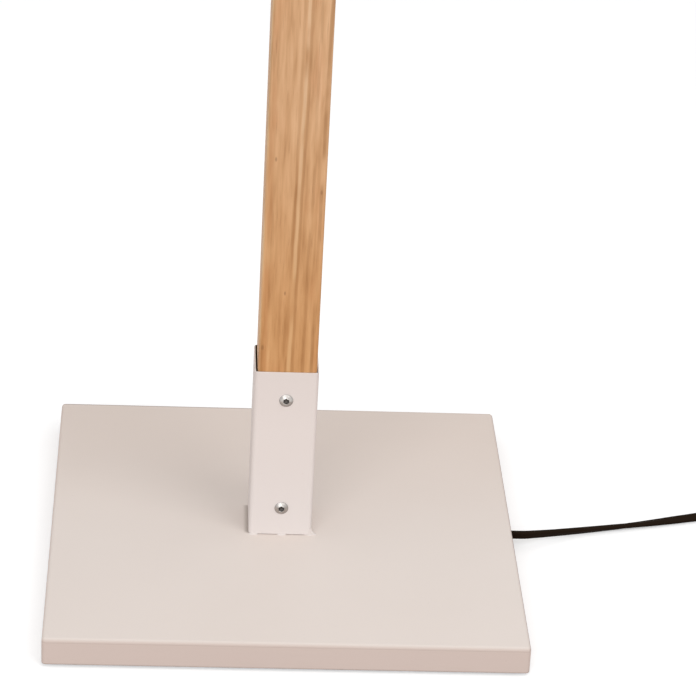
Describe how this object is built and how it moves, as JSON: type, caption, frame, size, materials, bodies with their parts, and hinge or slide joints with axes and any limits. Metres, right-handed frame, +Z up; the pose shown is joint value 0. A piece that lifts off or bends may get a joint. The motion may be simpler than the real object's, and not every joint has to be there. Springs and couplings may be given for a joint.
{
  "type": "swing arm floor lamp",
  "caption": "Floor lamp: timber post in a folded steel socket on a flat square base, with a tilting, swivelling timber arm that carries a hinged metal shade.",
  "frame": {"origin": "the post's axis where it meets the floor", "axes": "+Z up along the post, +X along the arm at rest, -Y to the front"},
  "size_m": [0.763, 0.3, 1.424],
  "materials": {
    "white_paint": "satin powder coat, warm white",
    "timber": "straight-grained light timber, matt clear oil",
    "screw_steel": "bright zinc or stainless fasteners",
    "cover_steel": "plain galvanised sheet",
    "ballast_iron": "rough cast, dark primer",
    "foam_pad": "black cellular rubber sheet",
    "cord_sheath": "matt black flexible sheath",
    "black_plastic": "fine-textured black moulding",
    "nylon": "natural nylon",
    "pin_brass": "nickel-bright brass",
    "bulb_metal": "drawn aluminium",
    "opal_globe": "opal diffuser"
  },
  "bodies": {
    "stand": {"base_pad": "foam_pad", "bottom_cover": "cover_steel", "cover_screws": "screw_steel", "ballast_block": "ballast_iron", "base_shell": "white_paint", "cord_gland": "black_plastic", "post_socket": "white_paint", "socket_welds": "white_paint", "socket_screws": "screw_steel", "post": "timber", "post_strip": "timber", "post_lead": "cord_sheath", "post_cap": "white_paint", "cap_screws": "screw_steel", "swivel_stem": "screw_steel", "stem_nut": "screw_steel", "power_cord": "cord_sheath", "cord_coil": "cord_sheath", "cord_tail": "cord_sheath", "cord_tie": "black_plastic", "plug_body": "black_plastic", "plug_pins": "pin_brass"},
    "swivel": {"swivel_pad": "nylon", "swivel_washer": "screw_steel", "yoke": "white_paint", "hinge_bolt": "screw_steel", "knob_washer": "screw_steel", "hinge_lead": "cord_sheath"},
    "swing_arm": {"arm": "timber", "arm_bushes": "nylon", "arm_strip": "timber", "arm_lead": "cord_sheath", "arm_fork": "white_paint", "fork_screws": "screw_steel", "head_bolt": "screw_steel", "head_knob_washer": "screw_steel", "head_lead": "cord_sheath"},
    "arm_clamp_knob": {"hinge_knob": "black_plastic"},
    "head_clamp_knob": {"head_knob": "black_plastic"},
    "lamp_head": {"head_lug": "white_paint", "head_washers": "nylon", "holder_cup": "white_paint", "cup_grommet": "black_plastic", "cup_screws": "screw_steel", "holder_lead": "cord_sheath", "lampholder": "black_plastic", "shade": "white_paint", "shade_ring": "black_plastic", "bulb_cap": "bulb_metal", "bulb_globe": "opal_globe", "switch_body": "black_plastic", "switch_bezel": "screw_steel"},
    "push_switch": {"switch_button": "black_plastic"}
  },
  "joints": [
    {"name": "arm_swing", "type": "hinge", "parent": "stand", "child": "swivel", "pos_m": [0, 0, 1.3555], "axis": [0, 0, 1], "range_deg": [-170, 170]},
    {"name": "arm_tilt", "type": "hinge", "parent": "swivel", "child": "swing_arm", "pos_m": [0, 0, 1.405], "axis": [0, -1, 0], "range_deg": [-35, 45], "deforming": ["hinge_lead"]},
    {"name": "arm_clamp_turn", "type": "hinge", "parent": "swivel", "child": "arm_clamp_knob", "pos_m": [0, -0.02, 1.405], "axis": [0, -1, 0], "range_deg": [0, 270]},
    {"name": "head_tilt", "type": "hinge", "parent": "swing_arm", "child": "lamp_head", "pos_m": [0.5, 0, 1.368], "axis": [0, -1, 0], "range_deg": [-60, 60], "deforming": ["head_lead"]},
    {"name": "head_clamp_turn", "type": "hinge", "parent": "swing_arm", "child": "head_clamp_knob", "pos_m": [0.5, -0.02, 1.368], "axis": [0, -1, 0], "range_deg": [0, 270]},
    {"name": "switch_press", "type": "slide", "parent": "lamp_head", "child": "push_switch", "axis": [-1, 0, 0], "range_m": [0, 0.0025], "stiffness_N_per_m": 1200, "springref_m": -0.002}
  ]
}
